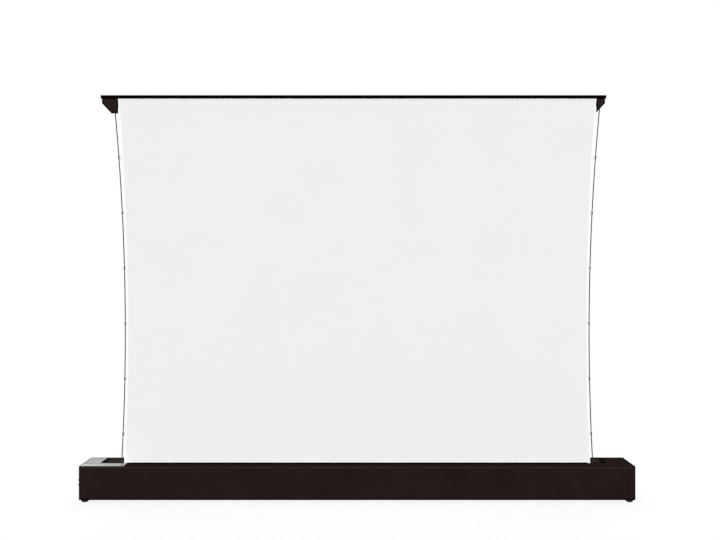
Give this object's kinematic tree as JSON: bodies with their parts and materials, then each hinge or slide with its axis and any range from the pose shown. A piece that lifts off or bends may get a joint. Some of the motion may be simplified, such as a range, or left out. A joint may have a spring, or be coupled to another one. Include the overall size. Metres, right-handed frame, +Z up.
{
  "type": "floor rising projection screen",
  "caption": "Tab-tensioned projection screen that rises from a low floor case on folding arms, with a top bar, roller, motor and push buttons.",
  "frame": {"origin": "on the floor under the middle of the case", "axes": "+X along the case to the right as seen from the front, +Y to the back, +Z up"},
  "size_m": [2.3664, 0.174, 1.7415],
  "materials": {
    "brown_plastic": "fine grain moulding",
    "brushed": "brushed",
    "painted_aluminium": "satin powder coat",
    "steel": "turned",
    "zinc": "zinc plated",
    "black_aluminium": "black powder coat",
    "black_steel": "black paint",
    "black_plastic": "fine grain moulding",
    "rubber": "matt",
    "cloth": "matt white, black back",
    "tape": "woven tape",
    "cord": "braided"
  },
  "bodies": {
    "case": {"front_profile": "painted_aluminium", "rear_profile": "painted_aluminium", "right_top_plate": "painted_aluminium", "control_plate": "brushed", "base_plate": "zinc", "left_end_cap": "brown_plastic", "right_end_cap": "brown_plastic", "slot_seal": "rubber", "left_roller_bracket": "zinc", "right_roller_bracket": "zinc", "tubular_motor": "black_steel", "idler_pin": "steel", "switch_module": "black_plastic", "power_inlet": "black_plastic", "left_front_foot": "rubber", "left_rear_foot": "rubber", "right_front_foot": "rubber", "right_rear_foot": "rubber", "left_front_screw": "zinc", "left_rear_screw": "zinc", "right_front_screw": "zinc", "right_rear_screw": "zinc", "screen_cloth": "cloth", "left_edge_tape": "tape", "right_edge_tape": "tape", "left_tension_cord": "cord", "right_tension_cord": "cord", "left_base_bracket": "black_steel", "left_base_pin": "steel", "right_base_bracket": "black_steel", "right_base_pin": "steel"},
    "roller": {"roller_tube": "steel", "cloth_wrap": "cloth", "drive_crown": "black_plastic"},
    "top_bar": {"top_bar": "painted_aluminium", "left_end_bracket": "painted_aluminium", "right_end_bracket": "painted_aluminium", "cloth_batten": "black_plastic", "left_top_bracket": "black_steel", "left_top_pin": "steel", "right_top_bracket": "black_steel", "right_top_pin": "steel"},
    "left_lower_arm": {"left_lower_arm": "black_aluminium", "left_base_knuckle": "black_aluminium", "left_lower_knee_knuckle": "black_aluminium", "left_knee_pin": "steel", "left_arm_spring": "steel"},
    "left_upper_arm": {"left_upper_arm": "black_aluminium", "left_upper_knee_knuckle": "black_aluminium", "left_top_knuckle": "black_aluminium"},
    "right_lower_arm": {"right_lower_arm": "black_aluminium", "right_base_knuckle": "black_aluminium", "right_lower_knee_knuckle": "black_aluminium", "right_knee_pin": "steel", "right_arm_spring": "steel"},
    "right_upper_arm": {"right_upper_arm": "black_aluminium", "right_upper_knee_knuckle": "black_aluminium", "right_top_knuckle": "black_aluminium"},
    "raise_button": {"raise_button": "black_plastic"},
    "lower_button": {"lower_button": "black_plastic"}
  },
  "joints": [
    {"name": "left_base", "type": "hinge", "parent": "case", "child": "left_lower_arm", "pos_m": [-0.15, 0.045, 0.045], "axis": [0, 1, 0], "range_deg": [-63.4, 0], "deforming": ["screen_cloth", "left_edge_tape", "right_edge_tape", "left_tension_cord", "right_tension_cord"]},
    {"name": "left_knee", "type": "hinge", "parent": "left_lower_arm", "child": "left_upper_arm", "pos_m": [-0.52755, 0.03, 0.86963], "axis": [0, 1, 0], "range_deg": [0, 126.8]},
    {"name": "left_top", "type": "hinge", "parent": "left_upper_arm", "child": "top_bar", "pos_m": [-0.15, 0.015, 1.69427], "axis": [0, 1, 0], "range_deg": [-63.4, 0]},
    {"name": "right_base", "type": "hinge", "parent": "case", "child": "right_lower_arm", "pos_m": [0.15, 0.045, 0.045], "axis": [0, 1, 0], "range_deg": [0, 63.4]},
    {"name": "right_knee", "type": "hinge", "parent": "right_lower_arm", "child": "right_upper_arm", "pos_m": [0.52755, 0.03, 0.86963], "axis": [0, 1, 0], "range_deg": [-126.8, 0]},
    {"name": "roller_spin", "type": "hinge", "parent": "case", "child": "roller", "pos_m": [0, -0.0453, 0.05], "axis": [1, 0, 0], "range_deg": [-3140, 0]},
    {"name": "raise_button_press", "type": "slide", "parent": "case", "child": "raise_button", "axis": [1, 0, 0], "range_m": [0, 0.0015], "stiffness_N_per_m": 300},
    {"name": "lower_button_press", "type": "slide", "parent": "case", "child": "lower_button", "axis": [1, 0, 0], "range_m": [0, 0.0015], "stiffness_N_per_m": 300}
  ],
  "couplings": [
    {"joint": "left_knee", "follows": "left_base", "ratio": -2},
    {"joint": "left_top", "follows": "left_base", "ratio": 1},
    {"joint": "right_base", "follows": "left_base", "ratio": -1},
    {"joint": "right_knee", "follows": "left_base", "ratio": 2},
    {"joint": "roller_spin", "follows": "left_base", "ratio": 49.4}
  ]
}
